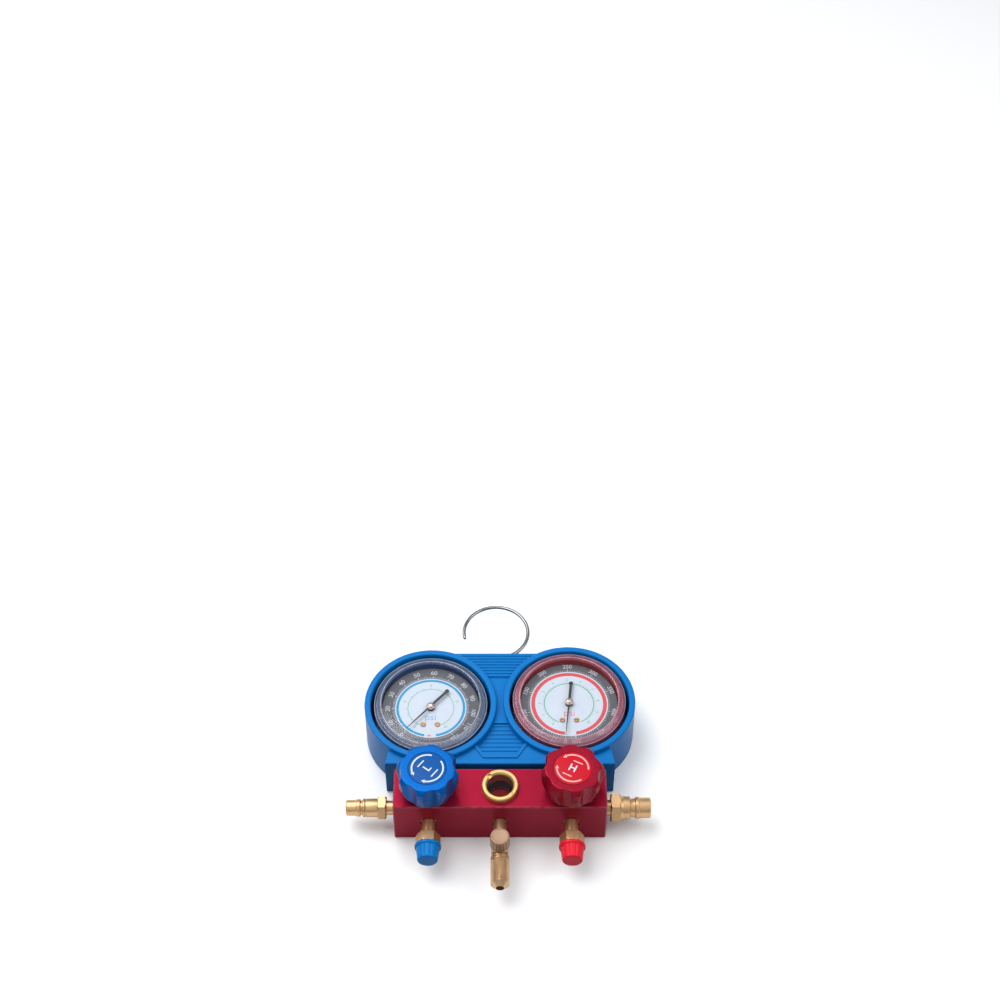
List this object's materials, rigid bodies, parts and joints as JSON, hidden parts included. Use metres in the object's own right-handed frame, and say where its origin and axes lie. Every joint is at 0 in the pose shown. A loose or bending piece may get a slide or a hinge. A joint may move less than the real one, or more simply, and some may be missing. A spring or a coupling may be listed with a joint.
{
  "type": "refrigerant manifold gauge",
  "caption": "Two-valve refrigerant manifold with low and high pressure gauges in a plastic housing, lobed handwheels, sight glass, capped hose ports and a hanging hook.",
  "frame": {"origin": "middle of the manifold block's flat back face", "axes": "+X along the block to the high side, +Y up through the gauges to the hook, +Z out of the gauge faces; lies on its back"},
  "size_m": [0.1802, 0.2047, 0.054],
  "materials": {
    "block_red": "crimson anodised, satin",
    "brass": "machined",
    "centre_brass": "machined, slightly pink",
    "movement_brass": "stamped",
    "tube_bronze": "drawn phosphor bronze",
    "steel": "zinc plated",
    "hook_steel": "polished wire",
    "wheel_blue": "blue anodised, satin",
    "wheel_red": "red anodised, satin",
    "badge_blue": "printed foil",
    "badge_red": "printed foil",
    "shell_blue": "semi-gloss moulded",
    "cover_blue": "textured moulded",
    "cap_blue": "moulded",
    "cap_red": "moulded",
    "case_blue": "enamel",
    "case_red": "enamel",
    "clear_lens": "clear",
    "dial_low": "printed",
    "dial_high": "printed",
    "pointer_black": "matt",
    "sight_glass": "polished",
    "seal_rubber": "matt",
    "seat_plastic": "turned fluoropolymer",
    "spacer_black": "moulded nylon"
  },
  "bodies": {
    "manifold": {"manifold_block": "block_red", "gallery_plug": "steel", "sight_ring": "brass", "sight_glass": "sight_glass", "sight_seal": "seal_rubber", "gauge_housing": "shell_blue", "rear_cover": "cover_blue", "cover_screws": "steel", "stem_spacers": "spacer_black", "centre_fitting": "centre_brass", "centre_valve_core": "steel", "dial_screws": "movement_brass", "low_bonnet": "brass", "low_port_fitting": "brass", "low_post": "brass", "low_gauge_case": "case_blue", "low_gauge_lens": "clear_lens", "low_dial": "dial_low", "low_gauge_socket": "brass", "low_bourdon_tube": "tube_bronze", "low_movement_frame": "movement_brass", "low_hairspring": "tube_bronze", "high_bonnet": "brass", "high_port_fitting": "brass", "high_post": "brass", "high_gauge_case": "case_red", "high_gauge_lens": "clear_lens", "high_dial": "dial_high", "high_gauge_socket": "brass", "high_bourdon_tube": "tube_bronze", "high_movement_frame": "movement_brass", "high_hairspring": "tube_bronze"},
    "low_piston": {"low_piston": "brass", "low_valve_seat": "seat_plastic"},
    "low_handwheel": {"low_handwheel": "wheel_blue", "low_badge": "badge_blue", "low_handwheel_screw": "steel", "low_valve_stem": "brass", "low_stem_oring": "seal_rubber"},
    "low_pointer": {"low_pointer": "pointer_black", "low_pinion_shaft": "steel"},
    "low_sector": {"low_sector_gear": "movement_brass"},
    "low_link": {"low_tip_link": "movement_brass"},
    "low_port_cap": {"low_port_cap": "cap_blue"},
    "high_piston": {"high_piston": "brass", "high_valve_seat": "seat_plastic"},
    "high_handwheel": {"high_handwheel": "wheel_red", "high_badge": "badge_red", "high_handwheel_screw": "steel", "high_valve_stem": "brass", "high_stem_oring": "seal_rubber"},
    "high_pointer": {"high_pointer": "pointer_black", "high_pinion_shaft": "steel"},
    "high_sector": {"high_sector_gear": "movement_brass"},
    "high_link": {"high_tip_link": "movement_brass"},
    "high_port_cap": {"high_port_cap": "cap_red"},
    "service_cap": {"service_cap": "centre_brass"},
    "hook": {"hook": "hook_steel", "hook_retainer": "steel"}
  },
  "joints": [
    {"name": "low_valve_lift", "type": "slide", "parent": "manifold", "child": "low_piston", "axis": [0, 0, 1], "range_m": [0, 0.003]},
    {"name": "low_valve_turn", "type": "hinge", "parent": "low_piston", "child": "low_handwheel", "pos_m": [-0.042, 0, 0.033], "axis": [0, 0, 1], "range_deg": [0, 1080]},
    {"name": "low_pointer_turn", "type": "hinge", "parent": "manifold", "child": "low_pointer", "pos_m": [-0.042, 0.0604, 0.0165], "axis": [0, 0, 1], "range_deg": [-308, 36], "stiffness_Nm_per_rad": 0.00001},
    {"name": "low_sector_turn", "type": "hinge", "parent": "manifold", "child": "low_sector", "pos_m": [-0.042, 0.046, 0.0165], "axis": [0, 0, 1], "range_deg": [-4.5, 38.5]},
    {"name": "low_link_turn", "type": "hinge", "parent": "low_sector", "child": "low_link", "pos_m": [-0.03448, 0.04326, 0.0165], "axis": [0, 0, 1], "range_deg": [-38.5, 4.5]},
    {"name": "low_cap_off", "type": "slide", "parent": "manifold", "child": "low_port_cap", "axis": [0, -1, 0], "range_m": [0, 0.015]},
    {"name": "high_valve_lift", "type": "slide", "parent": "manifold", "child": "high_piston", "axis": [0, 0, 1], "range_m": [0, 0.003]},
    {"name": "high_valve_turn", "type": "hinge", "parent": "high_piston", "child": "high_handwheel", "pos_m": [0.042, 0, 0.033], "axis": [0, 0, 1], "range_deg": [0, 1080]},
    {"name": "high_pointer_turn", "type": "hinge", "parent": "manifold", "child": "high_pointer", "pos_m": [0.042, 0.0636, 0.0165], "axis": [0, 0, 1], "range_deg": [-346, 0], "stiffness_Nm_per_rad": 0.00001},
    {"name": "high_sector_turn", "type": "hinge", "parent": "manifold", "child": "high_sector", "pos_m": [0.042, 0.0492, 0.0165], "axis": [0, 0, 1], "range_deg": [0, 43.25]},
    {"name": "high_link_turn", "type": "hinge", "parent": "high_sector", "child": "high_link", "pos_m": [0.04952, 0.04646, 0.0165], "axis": [0, 0, 1], "range_deg": [-43.25, 0]},
    {"name": "high_cap_off", "type": "slide", "parent": "manifold", "child": "high_port_cap", "axis": [0, -1, 0], "range_m": [0, 0.015]},
    {"name": "service_cap_off", "type": "slide", "parent": "manifold", "child": "service_cap", "axis": [0, 0, 1], "range_m": [0, 0.012]},
    {"name": "hook_swivel", "type": "hinge", "parent": "manifold", "child": "hook", "pos_m": [0, 0.1, 0.0165], "axis": [0, 1, 0], "continuous": true}
  ],
  "couplings": [
    {"joint": "low_valve_lift", "follows": "low_valve_turn", "m_per_rad": 0.00015915},
    {"joint": "low_sector_turn", "follows": "low_pointer_turn", "ratio": -0.125},
    {"joint": "low_link_turn", "follows": "low_pointer_turn", "ratio": 0.125},
    {"joint": "high_valve_lift", "follows": "high_valve_turn", "m_per_rad": 0.00015915},
    {"joint": "high_sector_turn", "follows": "high_pointer_turn", "ratio": -0.125},
    {"joint": "high_link_turn", "follows": "high_pointer_turn", "ratio": 0.125}
  ]
}
